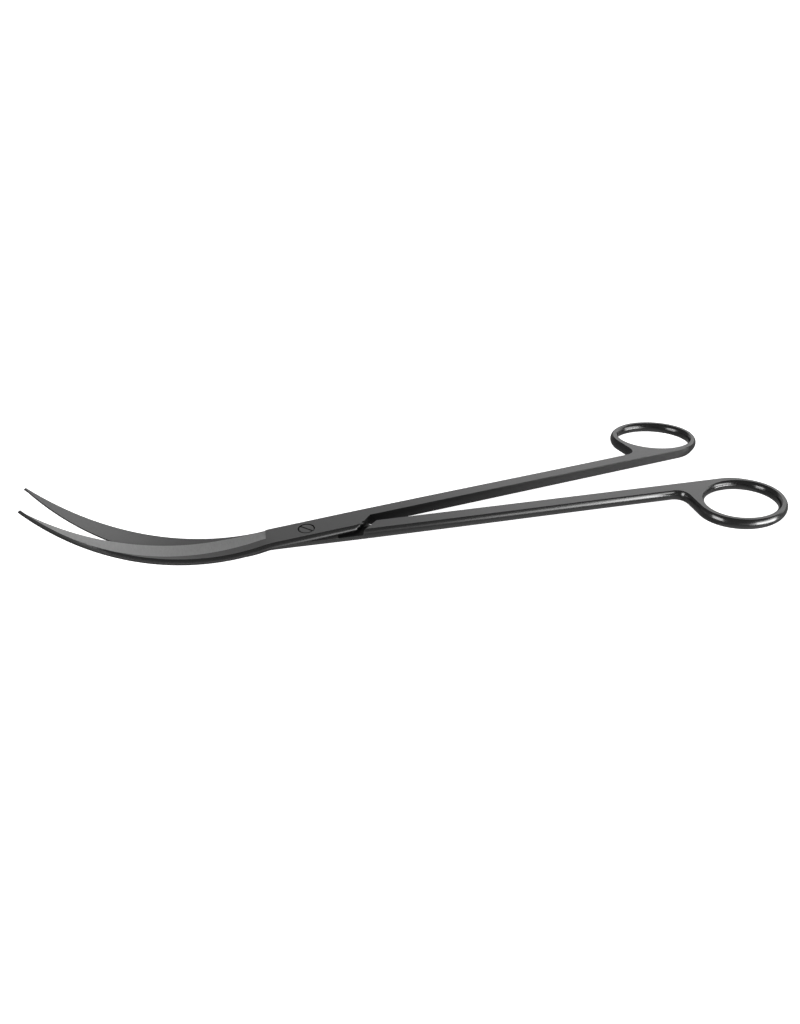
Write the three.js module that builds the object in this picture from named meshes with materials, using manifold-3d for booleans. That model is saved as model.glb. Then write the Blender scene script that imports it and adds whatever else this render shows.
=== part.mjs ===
// Long curved scissors for trimming aquarium plants.
//
// Two forged halves, each a blade, a half-lap joint plate, a straight shank and an oval finger
// ring in one piece, turn on one slotted screw. The blades sweep upwards together.
//
// Frame: the origin is on the pivot axis, level with the underside. +Z points up out of the
// screw head, +X runs towards the finger rings, and the blades point along -X.

import * as THREE from 'three';
import { mergeVertices } from 'three/addons/utils/BufferGeometryUtils.js';
import Module from 'manifold-3d';

// ---- Driving dimensions, in millimetres and degrees ----

const THICKNESS = 4.0; // shanks, joint and rings, underside to top
const RUNNING_GAP = 0.3; // between the two halves where they face each other
const REST_OPENING = 9.1; // angle between the halves as stored
const PLATE = (THICKNESS - RUNNING_GAP) / 2; // one half's share of the joint's thickness

// Shank
const SHANK_INNER = 0.3; // inner side's distance from the centre line
const SHANK_OUTER = 4.35; // outer edge of the flat top
const SHOULDER_OUTER = 4.6; // the same edge beside the joint's shoulder
const SHANK_TAPER = [40, 110]; // it draws in from one to the other along this stretch
const SIDE_BULGE = 0.7; // how far the rounded outer side stands beyond that edge
const SHANK_START = 10; // the handle's outline begins here, inside the joint plate
const SIDE_LAND = 0.2; // upright strip along the middle of the rounded side

// Finger ring
const RING_X = 152.6; // centre, along the shank
const RING_Y = 14.6; // centre, out from the centre line
const RING_LONG = 15.93; // half axes of the middle line of the ring's bar
const RING_SHORT = 12.69;
const RING_LEAN = -17.1; // long axis against the shank
const RING_BAR = 1.5; // half width of the bar
const RING_BULGE = 0.75; // how far its rounded sides stand beyond its flats
const WEB_FROM = 195; // the web between shank and ring follows the ring from here
const WEB_TO = 291; // to here, in degrees around the ring's oval
const WEB_TAPER = 8; // the shank's inner side fades into the ring over this length
const NOTCH_FILLET = 4; // from the notch's corner to either end of its fillet

// Joint plate
const PLATE_END = 24.5; // the plate's outline ends here, inside the shank
const SPINE_FLAT = 4.08; // edge of the flat top on the spine side
const SPINE_BULGE = 0.88; // rounded side beyond that edge
const SHOULDER_X = 22.5; // where the plate's end meets the shank's inner side
const SHOULDER_ANGLE = 44; // between the shoulder and the shank
const SHOULDER_CORNER = 1.5; // rounding where the shoulder meets the spine side
const EDGE_SOFTENING = 0.1; // what is left of the outer side's bulge where the bevel begins
const SHOULDER_ROOM = 1.4; // along the shank, to the other half's recess wall when closed

// Blade, measured along its curve from the pivot
const FLAT_RUN = 11.2; // straight stretch before the blade bends
const DIP_RADIUS = 36.9; // first bend, downwards
const DIP_ANGLE = 7.3;
const SWEEP_RADIUS = 68.6; // second bend, upwards to the tip
const BLADE_LENGTH = 89.9;
const PLUNGE = 13.4; // where the ground bevel begins
const PLUNGE_SKEW = 9; // its first line leans this much off square, in degrees
const RUN_OUT = 22; // the lower half's bevel fades in over this length instead
const EDGE_AT_PLUNGE = 4.3; // cutting edge, out from the centre line
const EDGE_WIDEST = 6.1;
const EDGE_WIDEST_AT = 28;
const EDGE_RADIUS = 292; // the cutting edge's curve from there to the tip
const SPINE_AT_PLUNGE = SPINE_FLAT + SPINE_BULGE;
const SPINE_AT_TIP = 1.0;
const SPINE_TAPER = 2.8; // power law, as is the thickness's
const RIDGE = { plunge: 4.15, tip: 0.12 }; // top ridge, in from the spine
const RIDGE_MEETS_SPINE = 79;
const TIP_THICKNESS = 1.0;
const THICKNESS_TAPER = 2.5;
const EDGE_THICKNESS = { plunge: 1.4, tip: 0.45 };
const BEVEL_THINNED_BY = 74; // where the edge reaches its final thickness

// Pivot screw
const HEAD_RADIUS = 2.45;
const HEAD_HEIGHT = 0.9;
const NECK_RADIUS = 1.7;
const SLOT_WIDTH = 0.6;
const SLOT_DEPTH = 0.45;
const SLOT_ANGLE = -48; // in the rest pose, from +X

// Facets
const ROUND_STEPS = 4; // along each rounded side
const MATING_STEPS = 4; // across a mating face
const BLADE_STEP = 2.7; // between cross-sections along the blade
const CORNER_STEPS = 3; // along the shoulder's rounded corner
const SHANK_STEP = 15; // along the drawn-in edge of the shank
const WEB_STEP = 4; // degrees, around the web
const RING_STEPS = 56; // around a finger ring
const SUDDEN = 0.01; // length over which the bevel's first line breaks the flat
const SCREW_STEPS = 40;

// ---- Tools ----

const wasm = await Module();
wasm.setup();

const radians = THREE.MathUtils.degToRad;
const { lerp, smoothstep } = THREE.MathUtils;

const SHOULDER_SLOPE = Math.tan(radians(SHOULDER_ANGLE));
const CORNER_START = SHOULDER_X - (SPINE_AT_PLUNGE + SHANK_INNER) / SHOULDER_SLOPE - SHOULDER_CORNER;

/** A closed three.js geometry as a solid that can be joined and cut. */
function solid(geometry) {
  const bare = geometry.clone();
  bare.deleteAttribute('normal');
  bare.deleteAttribute('uv');
  const merged = mergeVertices(bare, 1e-4);
  const corners = Array.from(merged.index.array);
  const triangles = [];
  for (let i = 0; i < corners.length; i += 3) {
    const [a, b, c] = corners.slice(i, i + 3);
    if (a !== b && b !== c && c !== a) triangles.push(a, b, c);
  }
  return new wasm.Manifold(new wasm.Mesh({
    numProp: 3,
    vertProperties: new Float32Array(merged.attributes.position.array),
    triVerts: new Uint32Array(triangles),
  }));
}

/** The named mesh of a finished solid. */
function meshOf(body, name, material) {
  const { vertProperties, triVerts } = body.getMesh();
  const geometry = new THREE.BufferGeometry();
  geometry.setAttribute('position', new THREE.BufferAttribute(vertProperties, 3));
  geometry.setIndex(new THREE.BufferAttribute(triVerts, 1));
  geometry.computeVertexNormals();
  const mesh = new THREE.Mesh(geometry, material);
  mesh.name = name;
  return mesh;
}

/** Skin over a row of cross-sections with equally many points, closed by caps or on itself. */
function loft(sections, isLoop) {
  const count = sections[0].length;
  const points = sections.flat();
  const triangles = [];
  const spans = isLoop ? sections.length : sections.length - 1;
  for (let i = 0; i < spans; i += 1) {
    const here = i * count;
    const next = ((i + 1) % sections.length) * count;
    for (let j = 0; j < count; j += 1) {
      const k = (j + 1) % count;
      triangles.push(here + j, next + j, next + k);
      triangles.push(here + j, next + k, here + k);
    }
  }
  if (!isLoop) {
    const last = (sections.length - 1) * count;
    const middles = [sections[0], sections[sections.length - 1]].map((section) => (
      section.reduce((sum, point) => sum.add(point), new THREE.Vector3()).divideScalar(count)
    ));
    points.push(...middles);
    for (let j = 0; j < count; j += 1) {
      const k = (j + 1) % count;
      triangles.push(points.length - 2, j, k);
      triangles.push(points.length - 1, last + k, last + j);
    }
  }
  const geometry = new THREE.BufferGeometry().setFromPoints(points);
  geometry.setIndex(triangles);
  return geometry;
}

/** A flat outline raised from one height to another. */
function prism(outline, low, high) {
  const shape = new THREE.Shape(outline.map(([x, y]) => new THREE.Vector2(x, y)));
  const geometry = new THREE.ExtrudeGeometry(shape, { depth: high - low, bevelEnabled: false });
  return solid(geometry.translate(0, 0, low));
}

/** An upright round bar centred on the pivot axis. */
function roundBar(radius, low, high) {
  const geometry = new THREE.CylinderGeometry(radius, radius, high - low, SCREW_STEPS);
  return solid(geometry.rotateX(Math.PI / 2).translate(0, 0, (low + high) / 2));
}

// ---- One half, seen from its own outside face ----
//
// The halves share one design, and the lower one is turned over about the X axis, except that
// both blades sweep upwards. `side` is +1 for the half above the mating faces and -1 for the
// one below. Heights here are counted from the middle of the thickness.

/** The mating line at a distance along the blade: place and upward slope angle. */
function bladeLine(s) {
  const dipEnd = FLAT_RUN + DIP_RADIUS * radians(DIP_ANGLE);
  if (s <= FLAT_RUN) return { x: -s, z: 0, slope: 0 };
  if (s <= dipEnd) {
    const turned = (s - FLAT_RUN) / DIP_RADIUS;
    const drop = DIP_RADIUS * (1 - Math.cos(turned));
    return { x: -FLAT_RUN - DIP_RADIUS * Math.sin(turned), z: -drop, slope: -turned };
  }
  const start = bladeLine(dipEnd);
  const slope = start.slope + (s - dipEnd) / SWEEP_RADIUS;
  return {
    x: start.x - SWEEP_RADIUS * (Math.sin(slope) - Math.sin(start.slope)),
    z: start.z + SWEEP_RADIUS * (Math.cos(start.slope) - Math.cos(slope)),
    slope,
  };
}

/** Height of the mating surface, which is one surface of revolution about the pivot. */
function matingRise(s, y) {
  const { x, slope } = bladeLine(s);
  return (Math.hypot(x, y) - Math.abs(x)) * Math.tan(slope);
}

/** Outer edge of the flat top along the plate and the shank. */
function outerEdge(x) {
  return x < SHOULDER_X
    ? lerp(EDGE_AT_PLUNGE, SHOULDER_OUTER, smoothstep(x, -PLUNGE, SHOULDER_X))
    : lerp(SHOULDER_OUTER, SHANK_OUTER, smoothstep(x, ...SHANK_TAPER));
}

/** How far the spine side draws in to round the corner where the shoulder meets it. */
function cornerInset(x) {
  const along = Math.min(Math.max(x - CORNER_START, 0), 2 * SHOULDER_CORNER);
  return along ** 2 * SHOULDER_SLOPE / (4 * SHOULDER_CORNER);
}

/** Widths and thicknesses of the blade and plate at a distance from the pivot. */
function bladeSizes(s, side) {
  if (s < PLUNGE) {
    const edgeRound = lerp(SIDE_BULGE, EDGE_SOFTENING, smoothstep(s, 0, PLUNGE));
    return {
      edge: outerEdge(-s) + edgeRound,
      edgeRound,
      edgeHeight: PLATE,
      spine: SPINE_AT_PLUNGE - cornerInset(-s),
      spineRound: SPINE_BULGE,
      ridge: RIDGE.plunge,
      height: PLATE,
    };
  }
  const u = (s - PLUNGE) / (BLADE_LENGTH - PLUNGE);
  const rise = Math.min((s - PLUNGE) / (EDGE_WIDEST_AT - PLUNGE), 1);
  const fall = Math.max(s - EDGE_WIDEST_AT, 0) ** 2 / (2 * EDGE_RADIUS);
  const thin = Math.min((s - PLUNGE) / (BEVEL_THINNED_BY - PLUNGE), 1);
  const ground = lerp(EDGE_THICKNESS.tip, EDGE_THICKNESS.plunge, (1 - thin) ** 2);
  const fadedIn = side > 0 ? 1 : smoothstep(s, PLUNGE, PLUNGE + RUN_OUT);
  const ridge = lerp(RIDGE.plunge, RIDGE.tip, smoothstep(s, PLUNGE, RIDGE_MEETS_SPINE));
  return {
    edge: lerp(EDGE_AT_PLUNGE, EDGE_WIDEST, 1 - (1 - rise) ** 2) - fall,
    edgeRound: 0,
    edgeHeight: lerp(PLATE, ground, fadedIn),
    spine: lerp(SPINE_AT_PLUNGE, SPINE_AT_TIP, u ** SPINE_TAPER),
    spineRound: Math.min(SPINE_BULGE, ridge),
    ridge,
    height: lerp(PLATE, TIP_THICKNESS, u ** THICKNESS_TAPER),
  };
}

/** Cross-section of plate or blade, as [out from the centre line, out from the mating face]. */
function bladeOutline(s, side) {
  const size = bladeSizes(s, side);
  const points = [];
  for (let i = 0; i <= MATING_STEPS; i += 1) {
    points.push([lerp(-size.spine, size.edge, i / MATING_STEPS), 0]);
  }
  for (let i = 1; i <= ROUND_STEPS; i += 1) {
    const turn = (i / ROUND_STEPS) * Math.PI / 2;
    points.push([
      size.edge - size.edgeRound * (1 - Math.cos(turn)),
      size.edgeHeight * Math.sin(turn),
    ]);
  }
  points.push([size.ridge - size.spine, size.height]);
  for (let i = ROUND_STEPS; i > 0; i -= 1) {
    const turn = (i / ROUND_STEPS) * Math.PI / 2;
    points.push([
      size.spineRound * (1 - Math.cos(turn)) - size.spine,
      size.height * Math.sin(turn),
    ]);
  }
  return points;
}

/** The same cross-section in place, on the upper or the lower side of the mating surface. */
function bladeSection(s, side) {
  const { x, z, slope } = bladeLine(s);
  const skew = 1 - smoothstep(Math.abs(s - PLUNGE), 0, PLUNGE);
  return bladeOutline(s, side).map(([y, height]) => {
    const out = side * (height + RUNNING_GAP / 2);
    const level = z + matingRise(s, y) + out * Math.cos(slope);
    const lean = (y + RIDGE.plunge - SPINE_AT_PLUNGE) * skew * Math.tan(radians(PLUNGE_SKEW));
    return new THREE.Vector3(
      x + lean + out * Math.sin(slope),
      side * y,
      // The blades dip here; the lower one's back is ground level with the joint's underside.
      Math.max(level, -THICKNESS / 2),
    );
  });
}

/** Joint plate and blade in one, from beyond the shoulder to the tip. */
function bladeAndPlate(side) {
  const stations = [-PLATE_END];
  for (let i = CORNER_STEPS; i >= 0; i -= 1) {
    stations.push(-CORNER_START - 2 * SHOULDER_CORNER * (i / CORNER_STEPS));
  }
  stations.push(0, PLUNGE / 2, FLAT_RUN, PLUNGE - SUDDEN);
  const spans = Math.round((BLADE_LENGTH - PLUNGE) / BLADE_STEP);
  for (let i = 0; i <= spans; i += 1) {
    stations.push(lerp(PLUNGE, BLADE_LENGTH, i / spans));
  }
  return solid(loft(stations.map((s) => bladeSection(s, side)), false));
}

/** How far a side that bulges in one arc over the whole thickness stands back at a height. */
function arcInset(bulge, height) {
  const radius = ((THICKNESS / 2) ** 2 + bulge ** 2) / (2 * bulge);
  return radius - Math.sqrt(radius ** 2 - height ** 2);
}

/** A point of the finger ring's oval, moved outwards from its middle line. */
function ringPoint(degrees, outwards = 0) {
  const turn = radians(degrees);
  const along = new THREE.Vector2(RING_LONG * Math.cos(turn), RING_SHORT * Math.sin(turn));
  const normal = new THREE.Vector2(RING_SHORT * Math.cos(turn), RING_LONG * Math.sin(turn));
  const point = along.addScaledVector(normal.normalize(), outwards);
  return point
    .rotateAround(new THREE.Vector2(), radians(RING_LEAN))
    .add(new THREE.Vector2(RING_X, RING_Y));
}

function fingerRing() {
  const sections = [];
  for (let i = 0; i < RING_STEPS; i += 1) {
    const section = [];
    for (const outside of [1, -1]) {
      for (let j = 0; j <= ROUND_STEPS; j += 1) {
        const z = outside * Math.sin(lerp(-Math.PI / 2, Math.PI / 2, j / ROUND_STEPS)) * THICKNESS / 2;
        const halfWidth = RING_BAR - arcInset(RING_BULGE, z);
        const { x, y } = ringPoint((i / RING_STEPS) * 360, outside * halfWidth);
        section.push(new THREE.Vector3(x, y, z));
      }
    }
    sections.push(section);
  }
  return solid(loft(sections, true));
}

/** Shank and web: a flat outline with a rounded outer side and a plain inner side. */
function shank() {
  const hidden = SHANK_INNER - 2 * SIDE_BULGE;
  const webEdge = RING_BAR - SIDE_BULGE;
  const webStart = ringPoint(WEB_FROM, webEdge);
  const webEnd = ringPoint(WEB_TO, webEdge);
  const beside = ringPoint(WEB_FROM + 1, webEdge);
  const steepness = (beside.x - webStart.x) / (webStart.y - beside.y);
  const notch = new THREE.Vector2(webStart.x + (webStart.y - SHANK_OUTER) * steepness, SHANK_OUTER);
  const fillet = webStart.clone().sub(notch).setLength(NOTCH_FILLET).add(notch);
  const shape = new THREE.Shape();
  shape.moveTo(SHANK_START - SIDE_BULGE, hidden);
  shape.lineTo(webEnd.x - WEB_TAPER, hidden);
  for (let degrees = WEB_TO; degrees >= WEB_FROM; degrees -= WEB_STEP) {
    const { x, y } = ringPoint(degrees, webEdge);
    shape.lineTo(x, y);
  }
  shape.lineTo(fillet.x, fillet.y);
  shape.quadraticCurveTo(notch.x, notch.y, notch.x - NOTCH_FILLET, notch.y);
  for (let x = SHANK_TAPER[1]; x > SHANK_START; x -= SHANK_STEP) {
    shape.lineTo(x, outerEdge(x));
  }
  shape.lineTo(SHANK_START - SIDE_BULGE, outerEdge(SHANK_START));
  const rounded = solid(new THREE.ExtrudeGeometry(shape, {
    depth: SIDE_LAND,
    curveSegments: ROUND_STEPS,
    bevelSize: SIDE_BULGE,
    bevelThickness: (THICKNESS - SIDE_LAND) / 2,
    bevelSegments: ROUND_STEPS,
  }).translate(0, 0, -SIDE_LAND / 2));
  const far = 2 * RING_X;
  const innerSide = prism(
    [[-far, -far], [far, -far], [far, SHANK_INNER], [-far, SHANK_INNER]],
    -THICKNESS,
    THICKNESS,
  );
  return rounded.subtract(innerSide);
}

/** Everything beyond the shoulder, a slanted wall from (SHOULDER_X, SHANK_INNER) outwards. */
function beyondShoulder() {
  const reach = 3 * THICKNESS;
  const run = reach / SHOULDER_SLOPE;
  return prism(
    [[SHOULDER_X, SHANK_INNER], [SHOULDER_X - run, SHANK_INNER - reach],
      [2 * SHOULDER_X, SHANK_INNER - reach], [2 * SHOULDER_X, SHANK_INNER]],
    -THICKNESS,
    THICKNESS,
  );
}

/** The room under this half's plate for the other half's, up to a slanted wall. */
function recess() {
  const wallX = SHOULDER_X + SHOULDER_ROOM;
  const reach = 3 * THICKNESS;
  const run = reach / SHOULDER_SLOPE;
  return prism(
    [[0, -reach], [wallX + run, -reach], [wallX - run, reach], [0, reach]],
    -THICKNESS,
    RUNNING_GAP / 2,
  );
}

/** One whole half, before its screw hole. */
function half(side) {
  const turnedOver = (body) => (side > 0 ? body : body.rotate([180, 0, 0]));
  return bladeAndPlate(side)
    .subtract(turnedOver(beyondShoulder()))
    .add(turnedOver(shank().subtract(recess()).add(fingerRing())));
}

// ---- The three pieces ----

function upperHalf() {
  const top = THICKNESS / 2;
  const headSeat = top - HEAD_HEIGHT - RUNNING_GAP;
  return half(1)
    .subtract(roundBar(HEAD_RADIUS + RUNNING_GAP, headSeat, top + THICKNESS))
    .subtract(roundBar(NECK_RADIUS + RUNNING_GAP, -THICKNESS, THICKNESS));
}

function lowerHalf() {
  return half(-1).subtract(roundBar(NECK_RADIUS + RUNNING_GAP, -THICKNESS, THICKNESS));
}

function pivotScrew() {
  const top = THICKNESS / 2;
  const profile = [[0, -top], [NECK_RADIUS, -top], [NECK_RADIUS, top - HEAD_HEIGHT],
    [HEAD_RADIUS, top - HEAD_HEIGHT], [HEAD_RADIUS, top], [0, top]];
  const outline = profile.map(([radius, z]) => new THREE.Vector2(radius, z));
  const screw = new THREE.LatheGeometry(outline, SCREW_STEPS).rotateX(Math.PI / 2);
  const slot = new THREE.BoxGeometry(3 * HEAD_RADIUS, SLOT_WIDTH, 2 * SLOT_DEPTH)
    .translate(0, 0, top)
    .rotateZ(radians(SLOT_ANGLE));
  return solid(screw).subtract(solid(slot));
}

// ---- Assembly ----

const blackCoat = { color: 0x1d1e20, roughness: 0.35, metalness: 0.9 };
const halfOpening = radians(REST_OPENING) / 2;

const upper = meshOf(upperHalf(), 'upper_half', new THREE.MeshStandardMaterial(blackCoat));
upper.rotation.z = halfOpening;

const lower = meshOf(lowerHalf(), 'lower_half', new THREE.MeshStandardMaterial(blackCoat));
lower.rotation.z = -halfOpening;

const screw = meshOf(pivotScrew(), 'pivot_screw', new THREE.MeshStandardMaterial(blackCoat));

const scissors = new THREE.Group();
scissors.add(lower, screw, upper);
scissors.position.z = THICKNESS / 2;

export default scissors;
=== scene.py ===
"""Long curved aquarium scissors: fine halves and screw, their finishes, light, floor and camera."""

import math

import bmesh
import bpy
from mathutils import Matrix, Vector
from mathutils.geometry import tessellate_polygon


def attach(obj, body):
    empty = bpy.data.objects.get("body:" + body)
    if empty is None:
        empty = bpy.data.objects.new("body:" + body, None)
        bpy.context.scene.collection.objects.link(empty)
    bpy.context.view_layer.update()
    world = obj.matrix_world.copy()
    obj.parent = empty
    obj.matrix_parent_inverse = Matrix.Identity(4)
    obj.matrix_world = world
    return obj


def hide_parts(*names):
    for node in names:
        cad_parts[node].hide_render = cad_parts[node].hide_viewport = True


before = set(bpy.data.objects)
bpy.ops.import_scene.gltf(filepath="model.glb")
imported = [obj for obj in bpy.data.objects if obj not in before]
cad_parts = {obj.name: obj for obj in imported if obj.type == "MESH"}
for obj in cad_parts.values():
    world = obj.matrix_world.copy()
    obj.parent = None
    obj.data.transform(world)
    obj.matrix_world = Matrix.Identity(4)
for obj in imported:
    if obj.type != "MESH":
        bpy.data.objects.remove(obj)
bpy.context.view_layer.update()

# ---- Dimensions, in millimetres and degrees; the pivot's axis is at x = y = 0 ----

MM = 0.001
THICKNESS = 4.0
TOP = THICKNESS / 2  # of a half, counted from the middle of the thickness
RUNNING_GAP = 0.12  # finer than the CAD's, which leaves room for its facets
REST_OPENING = 9.1  # between the halves
PLATE = (THICKNESS - RUNNING_GAP) / 2  # thickness of each half at the joint

# Each half is drawn from its own outside, with the blade towards -X and the handle towards +X
SHANK_INNER = 0.1  # distances from the centre line to the edges of the shank's flat
SHANK_OUTER = 4.35
SHOULDER_OUTER = 4.6
SHANK_TAPER = (40.0, 110.0)  # where the outer side goes from the shoulder's width to the shank's
SIDE_BULGE = 0.7  # of a side's arc at the middle of the thickness, past its edge
HANDLE_START = 10.0
CORNER = 0.12  # softened edge between two ground faces
HIDDEN = 0.6  # how far a cut reaches into solid it doesn't show on
CUT_REACH = 3 * THICKNESS  # how far a cutting solid extends sideways

# Plate, around the screw
PLATE_END = 24.5  # the plate is drawn up to here, and then cut at the shoulder
PLATE_FINE_FROM = 20.0  # finely spaced sections from here to the plunge
PLATE_HIDES_FROM = 18.0  # from here on the plate's side hides inside the shank
PLATE_HIDES = 1.0
PLATE_BULGE = 0.72  # a little more than the shank's, so that the two never coincide
PLATE_BULGE_AT_PLUNGE = 0.1

# Finger ring, and the web between it and the shank
RING_X = 152.6
RING_Y = 14.6
RING_LONG = 15.93  # half the length and width of the oval through the middle of the bar
RING_SHORT = 12.69
RING_LEAN = -17.1
RING_BAR = 1.5  # half the width of the bar's flat
RING_BULGE = 0.95
WEB_EXTRA = 0.6  # how much further the bar reaches into the hole beside the web
WEB_MIDDLE = 220.0  # angles around the ring, from its far end
WEB_FROM = 195
WEB_TO = 291
ROUNDED_BY = 332.0  # the outer side of the ring is fully rounded from here
BULGE_BLEND = 60.0  # degrees over which the shank's rounding becomes the ring's
NOTCH_FILLET = 4.0
GLOSSY_FROM = 0.4  # how rounded a side is at least, if it has the glossy finish
UPRIGHT_TO = 60.0  # degrees round a side where an upright one's soft corner starts

# Spine, the side away from the cutting edge, and the shoulder where the plate ends
SPINE_FLAT = 4.08
SPINE_BULGE = 0.88
SHOULDER_X = 22.5  # where the shoulder's line crosses the centre line
SHOULDER_ANGLE = 44.0
SHOULDER_CORNER = 1.5  # rounding where the shoulder meets the plate's side
SHOULDER_SLOPE = math.tan(math.radians(SHOULDER_ANGLE))
SHOULDER_ROOM = {1: 0.05, -1: 1.4}  # past the shoulder, in the upper half and in the lower
# How far the shoulder's line shifts where its softened edge is carried on past the face
SHOULDER_SOFTENED = (TOP + CORNER) / math.sin(math.radians(SHOULDER_ANGLE))

# Blade: flat, then dipping, then sweeping up; lengths run from the pivot along the mating line
FLAT_RUN = 11.2
DIP_RADIUS = 36.9
DIP_ANGLE = 7.4
SWEEP_RADIUS = 68.6
BLADE_LENGTH = 89.7
PLUNGE = 13.4  # where the flat ends and the bevel starts
PLUNGE_SKEW = 9.0
RUN_OUT = 22.0  # over which the lower half's bevel fades in
PLUNGE_STEP = 0.01  # along the blade, from the end of the flat to the start of the bevel
EDGE_AT_PLUNGE = 4.3
EDGE_WIDEST = 6.1
EDGE_WIDEST_AT = 28.0
EDGE_RADIUS = 292.0
SPINE_AT_PLUNGE = SPINE_FLAT + SPINE_BULGE
SPINE_AT_TIP = 1.0
SPINE_TAPER = 2.8
RIDGE_PLUNGE = 4.15
RIDGE_TIP = 0.12
RIDGE_MEETS_SPINE = 79.0
TIP_THICKNESS = 1.0
THICKNESS_TAPER = 2.5
FLAT_TILT = 0.07  # fall of the flat beside the ridge, of the thickness
EDGE_THICKNESS = 1.4
EDGE_THICKNESS_TIP = 0.45
BEVEL_THINNED_BY = 74.0

# Screw, and the room around it
HEAD_RADIUS = 2.45
HEAD_HEIGHT = 0.9
HEAD_GAP = 0.42
NECK_RADIUS = 1.7
NECK_GAP = 0.2
SLOT_WIDTH = 0.6
SLOT_REACH = 4.0
SLOT_DEPTH = 0.45
SLOT_ANGLE = -48.0

# Sampling
MATING_STEPS = 6
BEVEL_STEPS = 4
ROUND_STEPS = 12
BLADE_STEP = 0.7
PLATE_SPANS = 100
SHANK_SPANS = 40
FILLET_SPANS = 20
NOTCH_SPANS = 4  # from the fillet to the ring
INNER_SPANS = 30
WEB_SPANS = 3  # of the inner spans, until the web meets the shank's straight inner side
TURN = 96  # points around a full circle
SHARP_ANGLE = 28.0  # edges that turn further aren't shaded smooth
MERGED_WITHIN = 0.002
COLLAPSED_WITHIN = 0.001

# Coating
COATING_IOR = 1.6
NOISE_DETAIL = 6.0
NOISE_ROUGHNESS = 0.6
TINT_SPREAD = 0.15  # of the colour, to both sides
TINT_FROM = 0.3
TINT_TO = 0.7
GRAIN_HEIGHT = 0.02
PATCHINESS = 0.667  # how much the roughness varies, for a grain of 1
RUBBED = 0.03  # how much lighter the coating is along rubbed edges
WEAR_RADIUS = 0.25
WEAR_SAMPLES = 4
WEAR_STARTS = 0.99  # cosine of the angle between the surface and its rounded edge
WEAR_FULL = 0.8
WEAR_SHIFT = 0.5
WALL_SHADE_GLOSS = (0.04, 0.31)  # specular level near the pivot and near the ring; the low level near the pivot is painted shade between the halves
WALL_SHADE_SPAN = (20.0, 100.0)  # distance from the pivot over which the painted shade fades out

# Floor, backdrop, lights and camera
PAPER = 0.9
PAPER_ROUGHNESS = 0.9
WORLD_LIGHT = 0.24
FLOOR_DROP = 0.9  # the blades' lowest bend stands on the floor
FLOOR_PROFILE = [(0, 0), (300, 0), (800, 0), (1300, 0)]  # radius and height
BACKDROP_PROFILE = [
    (0, 2400), (900, 2300), (1600, 1900), (2100, 1200),
    (2200, 600), (2100, 200), (1900, 40), (1300, 0),
]
LIGHT_DISTANCE = 2000.0
LIGHTS = [  # name, azimuth, elevation, width and height in degrees, radiance
    ("key", 44.5, -4.0, 39.0, 22.0, 11.0),
    ("key_fade", 27.0, -6.0, 28.0, 22.0, 2.8),
    ("front_fade", 2.0, -5.0, 22.0, 18.0, 0.4),
    ("key_high", 46.0, 12.0, 42.0, 12.0, 5.0),
    ("left_strip", -68.0, 5.0, 32.0, 34.0, 7.5),
    ("back_panel", 116.0, 28.0, 70.0, 44.0, 1.05),
    ("back_fill", 172.0, 26.0, 40.0, 40.0, 0.5),
    ("under_bounce", 20.0, -60.0, 70.0, 60.0, 0.25),
]
CAMERA_TARGET = (33.63, 3.404, 2.0)
CAMERA_DISTANCE = 241.04
CAMERA_AZIMUTH = -16.2859  # 0 looks from the front, along +Y
CAMERA_ELEVATION = 32.0612
CAMERA_ROLL = -0.5906
CAMERA_RAISED = 0.12  # in the picture, above the target
CAMERA_LENS = 24.151
CAMERA_CLIP = (5.0, 20000.0)

# Finishes, in the order of the material slots of a half
FLAT, SIDE, WALL, BEVEL, MATING, SCREW = range(6)


# ---- Finishes ----

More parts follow.
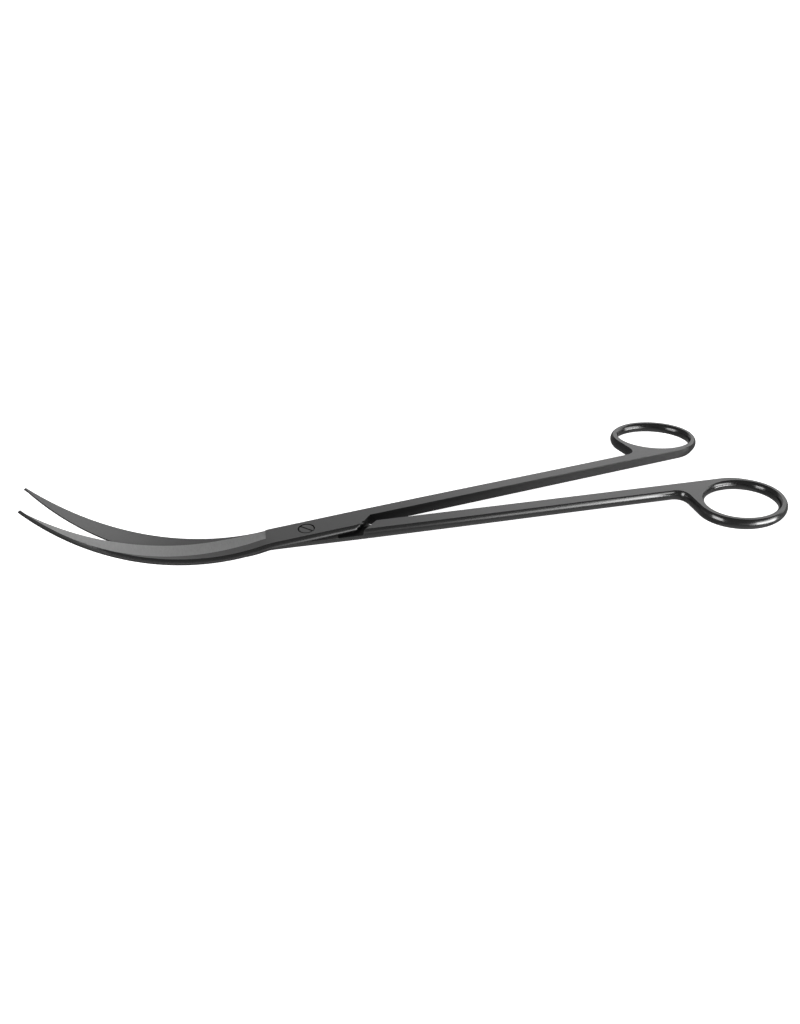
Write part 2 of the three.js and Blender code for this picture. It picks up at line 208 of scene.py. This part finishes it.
def finish_material(name, colour, roughness, grain, stretch):
    """Coated steel: colour, roughness and bump vary with stretched grain, and edges are rubbed."""
    made = bpy.data.materials.new(name)
    made.use_nodes = True
    nodes, links = made.node_tree.nodes, made.node_tree.links
    shader = nodes["Principled BSDF"]
    shader.inputs["IOR"].default_value = COATING_IOR
    place = nodes.new("ShaderNodeTexCoord")
    mapping = nodes.new("ShaderNodeMapping")
    mapping.inputs["Scale"].default_value = stretch
    fine = nodes.new("ShaderNodeTexNoise")
    fine.inputs["Scale"].default_value = 1.0
    fine.inputs["Detail"].default_value = NOISE_DETAIL
    fine.inputs["Roughness"].default_value = NOISE_ROUGHNESS
    links.new(place.outputs["Object"], mapping.inputs["Vector"])
    links.new(mapping.outputs["Vector"], fine.inputs["Vector"])

    dark = colour * (1 - TINT_SPREAD)
    light = colour * (1 + TINT_SPREAD)
    tint = nodes.new("ShaderNodeValToRGB")
    tint.color_ramp.elements[0].position = TINT_FROM
    tint.color_ramp.elements[1].position = TINT_TO
    tint.color_ramp.elements[0].color = (dark, dark, dark, 1)
    tint.color_ramp.elements[1].color = (light, light, light, 1)
    tint.color_ramp.elements.new(1.0).color = (light + RUBBED,) * 3 + (1,)
    surface = nodes.new("ShaderNodeNewGeometry")
    rounded = nodes.new("ShaderNodeBevel")
    rounded.samples = WEAR_SAMPLES
    rounded.inputs["Radius"].default_value = WEAR_RADIUS * MM
    facing = nodes.new("ShaderNodeVectorMath")
    facing.operation = "DOT_PRODUCT"
    links.new(surface.outputs["Normal"], facing.inputs[0])
    links.new(rounded.outputs["Normal"], facing.inputs[1])
    wear = nodes.new("ShaderNodeMapRange")
    wear.inputs["From Min"].default_value = WEAR_STARTS
    wear.inputs["From Max"].default_value = WEAR_FULL
    wear.inputs["To Max"].default_value = WEAR_SHIFT
    links.new(facing.outputs["Value"], wear.inputs["Value"])
    worn = nodes.new("ShaderNodeMath")
    worn.operation = "ADD"
    links.new(fine.outputs["Fac"], worn.inputs[0])
    links.new(wear.outputs["Result"], worn.inputs[1])
    links.new(worn.outputs["Value"], tint.inputs["Fac"])
    links.new(tint.outputs["Color"], shader.inputs["Base Color"])

    rough = nodes.new("ShaderNodeMapRange")
    rough.inputs["To Min"].default_value = roughness * (1 - grain * PATCHINESS)
    rough.inputs["To Max"].default_value = roughness * (1 + grain * PATCHINESS)
    links.new(fine.outputs["Fac"], rough.inputs["Value"])
    links.new(rough.outputs["Result"], shader.inputs["Roughness"])
    bump = nodes.new("ShaderNodeBump")
    bump.inputs["Strength"].default_value = grain
    bump.inputs["Distance"].default_value = GRAIN_HEIGHT * MM
    links.new(fine.outputs["Fac"], bump.inputs["Height"])
    links.new(bump.outputs["Normal"], shader.inputs["Normal"])
    return made


def paint_shade_near_pivot(material):
    """Raises a finish's specular level with the distance from the pivot: painted shade, dimming the
    reflections near the pivot where the halves shade each other.
    """
    nodes, links = material.node_tree.nodes, material.node_tree.links
    place = nodes.new("ShaderNodeTexCoord")
    away = nodes.new("ShaderNodeVectorMath")
    away.operation = "LENGTH"
    gloss = nodes.new("ShaderNodeMapRange")
    gloss.inputs["From Min"].default_value = WALL_SHADE_SPAN[0] * MM
    gloss.inputs["From Max"].default_value = WALL_SHADE_SPAN[1] * MM
    gloss.inputs["To Min"].default_value = WALL_SHADE_GLOSS[0]
    gloss.inputs["To Max"].default_value = WALL_SHADE_GLOSS[1]
    links.new(place.outputs["Object"], away.inputs[0])
    links.new(away.outputs["Value"], gloss.inputs["Value"])
    links.new(gloss.outputs["Result"], nodes["Principled BSDF"].inputs["Specular IOR Level"])


half_finishes = [  # name, colour, roughness, grain and its repeats per metre along X, Y and Z
    finish_material("ground_black", 0.04, 0.38, 0.3, (500, 2000, 2000)),
    finish_material("glossy_black", 0.005, 0.2, 0.03, (800, 2500, 2500)),
    finish_material("satin_black", 0.006, 0.3, 0.3, (500, 2000, 2000)),
    finish_material("brushed_bevel", 0.22, 0.42, 0.3, (2500, 400, 800)),
    finish_material("honed_face", 0.037, 0.4, 0.3, (2500, 500, 800)),
    finish_material("screw_black", 0.036, 0.35, 0.3, (2500, 2500, 2500)),
]
# Painted shade: the walls' reflections are dimmed towards the pivot, between the halves
paint_shade_near_pivot(half_finishes[WALL])


# ---- Small tools ----

def lerp(a, b, t):
    return a + (b - a) * t


def smoothstep(x, low, high):
    t = min(max((x - low) / (high - low), 0.0), 1.0)
    return t * t * (3 - 2 * t)


def mesh_object(name, points, faces, kinds, materials=half_finishes):
    """A mesh object with one finish index for each face."""
    mesh = bpy.data.meshes.new(name)
    mesh.from_pydata([tuple(p) for p in points], [], faces)
    mesh.polygons.foreach_set("material_index", kinds)
    work = bmesh.new()
    work.from_mesh(mesh)
    bmesh.ops.recalc_face_normals(work, faces=work.faces)
    work.to_mesh(mesh)
    work.free()
    for material in materials:
        mesh.materials.append(material)
    made = bpy.data.objects.new(name, mesh)
    bpy.context.scene.collection.objects.link(made)
    return made


def loft(name, sections, finishes, cap):
    """Skin over cross-sections with equally many points; finishes[i][j] is for span i, side j."""
    count = len(sections[0])
    points = [p for section in sections for p in section]
    faces, kinds = [], []
    for i in range(len(sections) - 1):
        for j in range(count):
            k = (j + 1) % count
            faces.append((i * count + j, (i + 1) * count + j, (i + 1) * count + k, i * count + k))
            kinds.append(finishes[i][j])
    last = (len(sections) - 1) * count
    faces.append(tuple(range(count)))
    faces.append(tuple(last + j for j in reversed(range(count))))
    kinds += [cap, cap]
    return mesh_object(name, points, faces, kinds)


def lathe(name, profile, finish):
    """A solid turned about the pivot's axis from (radius, height) pairs, from axis to axis."""
    rings = profile[1:-1]
    points = [(0, 0, profile[0][1]), (0, 0, profile[-1][1])]
    for radius, z in rings:
        for i in range(TURN):
            a = 2 * math.pi * i / TURN
            points.append((radius * math.cos(a), radius * math.sin(a), z))
    faces = []
    for i in range(TURN):
        j = (i + 1) % TURN
        faces.append((0, 2 + j, 2 + i))
        for r in range(len(rings) - 1):
            low, high = 2 + r * TURN, 2 + (r + 1) * TURN
            faces.append((low + i, low + j, high + j, high + i))
        top = 2 + (len(rings) - 1) * TURN
        faces.append((1, top + i, top + j))
    return mesh_object(name, points, faces, [finish] * len(faces))


def prism(name, levels, finish):
    """A solid between flat outlines; levels are (height, outline) pairs, lowest first."""
    sections = [[(x, y, z) for x, y in outline] for z, outline in levels]
    count = len(sections[0])
    return loft(name, sections[::-1], [[finish] * count] * (len(sections) - 1), finish)


def combine(target, tool, operation):
    """Joins or cuts target with tool, and removes the tool."""
    change = target.modifiers.new("combine", "BOOLEAN")
    change.operation = operation
    change.solver = "MANIFOLD"
    change.object = tool
    graph = bpy.context.evaluated_depsgraph_get()
    mesh = bpy.data.meshes.new_from_object(target.evaluated_get(graph))
    target.modifiers.clear()
    target.data = mesh
    bpy.data.objects.remove(tool)
    return target


# ---- One half, seen from its own outside face ----

def blade_line(s):
    """The mating line at a distance along the blade: x, z and upward slope angle."""
    dip_end = FLAT_RUN + DIP_RADIUS * math.radians(DIP_ANGLE)
    if s <= FLAT_RUN:
        return -s, 0.0, 0.0
    if s <= dip_end:
        turned = (s - FLAT_RUN) / DIP_RADIUS
        drop = DIP_RADIUS * (1 - math.cos(turned))
        return -FLAT_RUN - DIP_RADIUS * math.sin(turned), -drop, -turned
    x, z, start = blade_line(dip_end)
    slope = start + (s - dip_end) / SWEEP_RADIUS
    return (
        x - SWEEP_RADIUS * (math.sin(slope) - math.sin(start)),
        z + SWEEP_RADIUS * (math.cos(start) - math.cos(slope)),
        slope,
    )


def outer_edge(x):
    """Edge of the flat on the outer side of the plate and the shank."""
    if x < SHOULDER_X:
        return lerp(EDGE_AT_PLUNGE, SHOULDER_OUTER, smoothstep(x, -PLUNGE, SHOULDER_X))
    return lerp(SHOULDER_OUTER, SHANK_OUTER, smoothstep(x, *SHANK_TAPER))


def arc_inset(bulge, z):
    """How far a side that bulges in one arc over the full thickness stands back at a height."""
    radius = (TOP ** 2 + bulge ** 2) / (2 * bulge)
    return radius - math.sqrt(radius ** 2 - z ** 2)


def corner_inset(x):
    """How far the plate's spine side draws in to round the corner at the shoulder's near end."""
    corner_x = SHOULDER_X - (SPINE_AT_PLUNGE + SHANK_INNER) / SHOULDER_SLOPE
    along = min(max(x - corner_x + SHOULDER_CORNER, 0.0), 2 * SHOULDER_CORNER)
    return along ** 2 * SHOULDER_SLOPE / (4 * SHOULDER_CORNER)


def blade_outline(s, side):
    """Cross-section as [out from the centre line, out from the mating face], and its finishes."""
    if s < PLUNGE:
        bulge = lerp(PLATE_BULGE, PLATE_BULGE_AT_PLUNGE, smoothstep(s, 0, PLUNGE))
        edge = outer_edge(-s) + bulge
        if s < -PLATE_HIDES_FROM:
            edge -= PLATE_HIDES
        spine = SPINE_AT_PLUNGE - corner_inset(-s)
        ridge, height, tilt = RIDGE_PLUNGE, PLATE, 0.0
        cut_side = []
        for i in range(ROUND_STEPS + 1):
            z = lerp(RUNNING_GAP / 2, TOP, i / ROUND_STEPS)
            cut_side.append((edge - arc_inset(bulge, z), z - RUNNING_GAP / 2))
    else:
        u = (s - PLUNGE) / (BLADE_LENGTH - PLUNGE)
        rise = min((s - PLUNGE) / (EDGE_WIDEST_AT - PLUNGE), 1)
        fall = max(s - EDGE_WIDEST_AT, 0) ** 2 / (2 * EDGE_RADIUS)
        thin = min((s - PLUNGE) / (BEVEL_THINNED_BY - PLUNGE), 1)
        ridge = lerp(RIDGE_PLUNGE, RIDGE_TIP, smoothstep(s, PLUNGE, RIDGE_MEETS_SPINE))
        edge = lerp(EDGE_AT_PLUNGE, EDGE_WIDEST, 1 - (1 - rise) ** 2) - fall
        edge_height = lerp(EDGE_THICKNESS_TIP, EDGE_THICKNESS, (1 - thin) ** 2)
        if side < 0:
            edge_height = lerp(PLATE, edge_height, smoothstep(s, PLUNGE, PLUNGE + RUN_OUT))
        spine = lerp(SPINE_AT_PLUNGE, SPINE_AT_TIP, u ** SPINE_TAPER)
        height = lerp(PLATE, TIP_THICKNESS, u ** THICKNESS_TAPER)
        tilt = FLAT_TILT * rise
        cut_side = [
            (edge, edge_height * i / ROUND_STEPS) for i in range(ROUND_STEPS + 1)
        ]
    points, finishes = [], []
    for i in range(MATING_STEPS):
        points.append((lerp(-spine, edge, i / MATING_STEPS), 0.0))
        finishes.append(MATING)
    points += cut_side
    finishes += [SIDE] * ROUND_STEPS
    top_edge = cut_side[-1]
    for i in range(1, BEVEL_STEPS + 1):
        t = i / BEVEL_STEPS
        points.append((lerp(top_edge[0], ridge - spine, t), lerp(top_edge[1], height, t)))
        finishes.append(FLAT if s < PLUNGE else BEVEL)
    finishes.append(FLAT)
    bulge = min(SPINE_BULGE * height / PLATE, ridge)
    for i in range(ROUND_STEPS):
        t = 1 - i / ROUND_STEPS
        points.append((arc_inset(bulge, TOP * t) - spine, height * (1 - tilt) * t))
        finishes.append(SIDE)
    return points, finishes


def blade_section(s, side):
    """The cross-section in place, and its finishes; it leans over at the plunge."""
    x, z, slope = blade_line(s)
    outline, finishes = blade_outline(s, side)
    skew = 1 - smoothstep(abs(s - PLUNGE), 0, PLUNGE)
    points = []
    for y, height in outline:
        out = side * (height + RUNNING_GAP / 2)
        lean = (y + RIDGE_PLUNGE - SPINE_AT_PLUNGE) * skew * math.tan(math.radians(PLUNGE_SKEW))
        rise = (math.hypot(x + lean, y) - abs(x)) * math.tan(slope)
        level = z + rise + out * math.cos(slope)
        points.append((x + out * math.sin(slope) + lean, side * y, level))
    return points, finishes


def blade_and_plate(side):
    stations = [-PLATE_END]
    for i in range(PLATE_SPANS + 1):
        stations.append(lerp(-PLATE_FINE_FROM, PLUNGE - PLUNGE_STEP, i / PLATE_SPANS))
    spans = round((BLADE_LENGTH - PLUNGE) / BLADE_STEP)
    stations += [lerp(PLUNGE, BLADE_LENGTH, i / spans) for i in range(spans + 1)]
    sections, finishes = zip(*[blade_section(s, side) for s in stations])
    return loft("blade", list(sections), list(finishes), SIDE)


def ring_point(degrees, outwards):
    """A point at a distance outwards from the middle line of the finger ring's bar."""
    a = math.radians(degrees)
    along = Vector((RING_LONG * math.cos(a), RING_SHORT * math.sin(a)))
    normal = Vector((RING_SHORT * math.cos(a), RING_LONG * math.sin(a))).normalized()
    point = along + normal * outwards
    point.rotate(Matrix.Rotation(math.radians(RING_LEAN), 2))
    return point + Vector((RING_X, RING_Y))


def handle_outline():
    """Outermost line of shank and ring in plan, as (point, bulge, how rounded), clockwise."""
    outer = SHANK_OUTER + SIDE_BULGE
    start = ring_point(WEB_FROM, RING_BAR)
    beside = ring_point(WEB_FROM + 1, RING_BAR)
    notch_x = start.x + (start.y - outer) * (beside.x - start.x) / (start.y - beside.y)
    corner = Vector((notch_x, outer))
    fillet_x = notch_x - NOTCH_FILLET
    fillet_end = corner + (start - corner).normalized() * NOTCH_FILLET
    line = []
    for i in range(SHANK_SPANS):
        x = lerp(HANDLE_START, fillet_x, i / SHANK_SPANS)
        line.append((Vector((x, outer_edge(x) + SIDE_BULGE)), SIDE_BULGE, 1.0))
    for i in range(FILLET_SPANS):
        t = i / FILLET_SPANS
        point = Vector((fillet_x, outer)).lerp(corner, t).lerp(corner.lerp(fillet_end, t), t)
        line.append((point, SIDE_BULGE, 1.0))
    for i in range(NOTCH_SPANS):
        line.append((fillet_end.lerp(start, i / NOTCH_SPANS), SIDE_BULGE, 1.0))
    for degrees in range(WEB_FROM, WEB_TO - 360 - 1, -1):
        rounded = smoothstep(degrees + 360, WEB_TO, ROUNDED_BY)
        bulge = lerp(SIDE_BULGE, RING_BULGE, smoothstep(WEB_FROM - degrees, 0, BULGE_BLEND))
        line.append((ring_point(degrees, RING_BAR), bulge, rounded))
    web_end = line[-1][0]
    for i in range(1, INNER_SPANS + 1):
        x = lerp(web_end.x, HANDLE_START, i / INNER_SPANS)
        y = lerp(web_end.y, SHANK_INNER, min(i / WEB_SPANS, 1.0))
        line.append((Vector((x, y)), RING_BULGE, 0.0))
    return line


def wall_profile(bulge, rounded):
    """A side from top to bottom, between a rounded one and an upright one with soft corners."""
    points = []
    spans = 2 * ROUND_STEPS
    for i in range(spans + 1):
        angle = lerp(90.0, -90.0, i / spans)
        a = math.radians(angle)
        z = TOP * math.sin(a)
        full = (arc_inset(bulge, z), z)
        if abs(angle) >= UPRIGHT_TO:
            c = math.radians((90 - abs(angle)) * (90 / (90 - UPRIGHT_TO)))
            plain = (CORNER * (1 - math.sin(c)), TOP - CORNER * (1 - math.cos(c)))
        else:
            plain = (0.0, (TOP - CORNER) * abs(angle) / UPRIGHT_TO)
        plain = (plain[0], math.copysign(plain[1], angle))
        points.append((lerp(plain[0], full[0], rounded), lerp(plain[1], full[1], rounded)))
    return points


def handle():
    """Shank, web and finger ring: a flat outline with a hole, and shaped sides all round."""
    outline = handle_outline()
    hole = []
    for degrees in range(360):
        beside = max(math.cos(math.radians(degrees - WEB_MIDDLE)), 0.0) ** 2
        hole.append((ring_point(degrees, -RING_BAR - WEB_EXTRA * beside), RING_BULGE, 1.0))
    points, faces, kinds, rims = [], [], [], []
    last = 2 * ROUND_STEPS
    levels = last + 1
    for loop in (outline, hole):
        count, first = len(loop), len(points)
        for i in range(count):
            point, bulge, rounded = loop[i]
            before, after = loop[i - 1][0], loop[(i + 1) % count][0]
            if loop is outline and i == 0:
                before = point - (after - point)
            if loop is outline and i == count - 1:
                after = point + (point - before)
            along = (after - before).normalized()
            normal = Vector((-along.y, along.x))
            for inset, z in wall_profile(bulge, rounded):
                place = point - normal * inset
                points.append((place.x, place.y, z))
        for i in range(count):
            j = (i + 1) % count
            for k in range(last):
                a, b = first + i * levels + k, first + j * levels + k
                faces.append((a, b, b + 1, a + 1))
                kinds.append(SIDE if max(loop[i][2], loop[j][2]) > GLOSSY_FROM else WALL)
        rims.append([first + i * levels for i in range(count)])
    flat = [[Vector(points[i]) for i in rim] for rim in rims]
    corners = rims[0] + rims[1]
    for a, b, c in tessellate_polygon(flat):
        a, b, c = corners[a], corners[b], corners[c]
        faces.append((a, b, c))
        faces.append((c + last, b + last, a + last))
        kinds += [FLAT, FLAT]
    return mesh_object("handle", points, faces, kinds)


def beyond_shoulder():
    """Everything beyond the plate's slanted end, whose outer edge is softened."""
    levels = []
    for z, x in (
        (-TOP, SHOULDER_X),
        (TOP - CORNER, SHOULDER_X),
        (THICKNESS, SHOULDER_X - SHOULDER_SOFTENED),
    ):
        levels.append((z, [
            (x + HIDDEN / SHOULDER_SLOPE, SHANK_INNER + HIDDEN),
            (x - CUT_REACH / SHOULDER_SLOPE, SHANK_INNER - CUT_REACH),
            (2 * SHOULDER_X, SHANK_INNER - CUT_REACH),
            (2 * SHOULDER_X, SHANK_INNER + HIDDEN),
        ]))
    return prism("beyond", levels, WALL)


def recess(room):
    """The space under this half's plate for the other half's, up to a slanted wall."""
    run = CUT_REACH / SHOULDER_SLOPE
    wall = SHOULDER_X + room
    levels = []
    for z, x in (
        (-THICKNESS, wall + SHOULDER_SOFTENED),
        (CORNER - TOP, wall),
        (RUNNING_GAP / 2, wall),
    ):
        levels.append((z, [
            (0, -CUT_REACH),
            (x + run, -CUT_REACH),
            (x - run, CUT_REACH),
            (0, CUT_REACH),
        ]))
    return prism("recess", levels, WALL)


def turned_over(made, side):
    """The lower half, side -1, is drawn as the upper half and then turned over."""
    if side < 0:
        made.data.transform(Matrix.Rotation(math.pi, 4, "X"))
    return made


def half(side):
    plate = combine(blade_and_plate(side), turned_over(beyond_shoulder(), side), "DIFFERENCE")
    grip = combine(handle(), recess(SHOULDER_ROOM[side]), "DIFFERENCE")
    return combine(plate, turned_over(grip, side), "UNION")


def bore(radius, low, high):
    """The space of a round hole on the pivot's axis."""
    profile = [(0, low), (radius, low), (radius, high), (0, high)]
    return lathe("bore", profile, SIDE)


def finished(made, name, angle, body, node):
    """Turns a piece to its rest place, in metres, shades it smooth between edges, and mounts it."""
    made.name = name
    made.data.name = name
    place = Matrix.Translation((0, 0, TOP * MM)) @ Matrix.Rotation(math.radians(angle), 4, "Z")
    made.data.transform(place @ Matrix.Scale(MM, 4))
    work = bmesh.new()
    work.from_mesh(made.data)
    bmesh.ops.remove_doubles(work, verts=work.verts, dist=MERGED_WITHIN * MM)
    bmesh.ops.dissolve_degenerate(work, dist=COLLAPSED_WITHIN * MM, edges=work.edges)
    bmesh.ops.recalc_face_normals(work, faces=work.faces)
    for face in work.faces:
        face.smooth = True
    for edge in work.edges:
        pair = edge.link_faces
        one_finish = len(pair) < 2 or pair[0].material_index == pair[1].material_index
        edge.smooth = one_finish and edge.calc_face_angle(0.0) < math.radians(SHARP_ANGLE)
    work.to_mesh(made.data)
    work.free()
    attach(made, body)
    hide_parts(node)


# ---- Pieces ----

seat = bore(HEAD_RADIUS + HEAD_GAP, TOP - HEAD_HEIGHT - HEAD_GAP, THICKNESS)
upper = combine(half(1), seat, "DIFFERENCE")
upper = combine(upper, bore(NECK_RADIUS + NECK_GAP, -THICKNESS, THICKNESS), "DIFFERENCE")
finished(upper, "fine_upper_half", REST_OPENING / 2, "upper", "upper_half")

lower = combine(half(-1), bore(NECK_RADIUS + NECK_GAP, -THICKNESS, THICKNESS), "DIFFERENCE")
finished(lower, "fine_lower_half", -REST_OPENING / 2, "lower", "lower_half")

screw_profile = [
    (0, -TOP),
    (NECK_RADIUS - CORNER, -TOP),
    (NECK_RADIUS, -TOP + CORNER),
    (NECK_RADIUS, TOP - HEAD_HEIGHT),
    (HEAD_RADIUS, TOP - HEAD_HEIGHT),
    (HEAD_RADIUS, TOP - CORNER),
    (HEAD_RADIUS - CORNER, TOP),
    (0, TOP),
]
screw = lathe("screw", screw_profile, SCREW)
slot_outline = []
for across, beside in ((-1, -1), (1, -1), (1, 1), (-1, 1)):
    corner = Vector((across * SLOT_REACH, beside * SLOT_WIDTH / 2))
    slot_outline.append(Matrix.Rotation(math.radians(SLOT_ANGLE), 2) @ corner)
slot = prism("slot", [(TOP - SLOT_DEPTH, slot_outline), (THICKNESS, slot_outline)], SCREW)
screw = combine(screw, slot, "DIFFERENCE")
finished(screw, "fine_pivot_screw", 0.0, "lower", "pivot_screw")


# ---- Floor, light and camera ----

def round_stage(name, profile, material):
    """A sheet turned about the pivot's axis from (radius, height) pairs that start on it."""
    points = [(0, 0, profile[0][1] - FLOOR_DROP)]
    for radius, z in profile[1:]:
        for i in range(TURN):
            a = 2 * math.pi * i / TURN
            points.append((radius * math.cos(a), radius * math.sin(a), z - FLOOR_DROP))
    faces = [(0, 1 + i, 1 + (i + 1) % TURN) for i in range(TURN)]
    for r in range(len(profile) - 2):
        for i in range(TURN):
            j = (i + 1) % TURN
            a, b = 1 + r * TURN, 1 + (r + 1) * TURN
            faces.append((a + i, b + i, b + j, a + j))
    made = mesh_object(name, points, faces, [0] * len(faces), [material])
    made.data.transform(Matrix.Scale(MM, 4))
    made.data.polygons.foreach_set("use_smooth", [True] * len(faces))
    made.visible_glossy = False
    made.visible_shadow = False
    return made


def towards(azimuth, elevation):
    """A unit vector from the object; azimuth 0 is the front, -Y, and 90 is +X."""
    a, e = math.radians(azimuth), math.radians(elevation)
    return Vector((math.sin(a) * math.cos(e), -math.cos(a) * math.cos(e), math.sin(e)))


def softbox(name, azimuth, elevation, width, height, radiance):
    """A rectangular light on a sphere round the object, facing its middle."""
    away = towards(azimuth, elevation)
    distance = LIGHT_DISTANCE * MM
    light = bpy.data.lights.new(name, "AREA")
    light.shape = "RECTANGLE"
    light.size = 2 * distance * math.tan(math.radians(width / 2))
    light.size_y = 2 * distance * math.tan(math.radians(height / 2))
    light.energy = 4 * light.size * light.size_y * radiance
    made = bpy.data.objects.new(name, light)
    made.location = Vector(CAMERA_TARGET) * MM + away * distance
    made.rotation_mode = "QUATERNION"
    made.rotation_quaternion = away.to_track_quat("Z", "Y")
    made.visible_camera = False
    bpy.context.scene.collection.objects.link(made)


paper = bpy.data.materials.new("pale_paper")
paper.use_nodes = True
sheet = paper.node_tree.nodes["Principled BSDF"]
sheet.inputs["Base Color"].default_value = (PAPER, PAPER, PAPER, 1)
sheet.inputs["Roughness"].default_value = PAPER_ROUGHNESS
sheet.inputs["Specular IOR Level"].default_value = 0.0
sheet.inputs["Emission Color"].default_value = (1, 1, 1, 1)
sheet.inputs["Emission Strength"].default_value = 1.0
round_stage("floor", FLOOR_PROFILE, paper)
round_stage("backdrop", BACKDROP_PROFILE, paper).visible_diffuse = False

world = bpy.data.worlds.new("studio")
bpy.context.scene.world = world
world.use_nodes = True
world.node_tree.nodes["Background"].inputs["Color"].default_value = (1, 1, 1, 1)
world.node_tree.nodes["Background"].inputs["Strength"].default_value = WORLD_LIGHT

for row in LIGHTS:
    softbox(*row)

back = towards(CAMERA_AZIMUTH, CAMERA_ELEVATION)
facing = math.radians(CAMERA_AZIMUTH)
roll = math.radians(CAMERA_ROLL)
level = Vector((math.cos(facing), math.sin(facing), 0))
right = level * math.cos(roll) + back.cross(level) * math.sin(roll)
above = back.cross(right)
eye = Vector(CAMERA_TARGET) * MM + above * (CAMERA_RAISED * MM) + back * (CAMERA_DISTANCE * MM)
camera = bpy.data.objects.new("camera", bpy.data.cameras.new("camera"))
camera.data.lens = CAMERA_LENS
camera.data.clip_start = CAMERA_CLIP[0] * MM
camera.data.clip_end = CAMERA_CLIP[1] * MM
turned = Matrix((right, above, back)).transposed().to_4x4()
camera.matrix_world = Matrix.Translation(eye) @ turned
bpy.context.scene.collection.objects.link(camera)
bpy.context.scene.camera = camera
bpy.context.scene.view_settings.view_transform = "Standard"
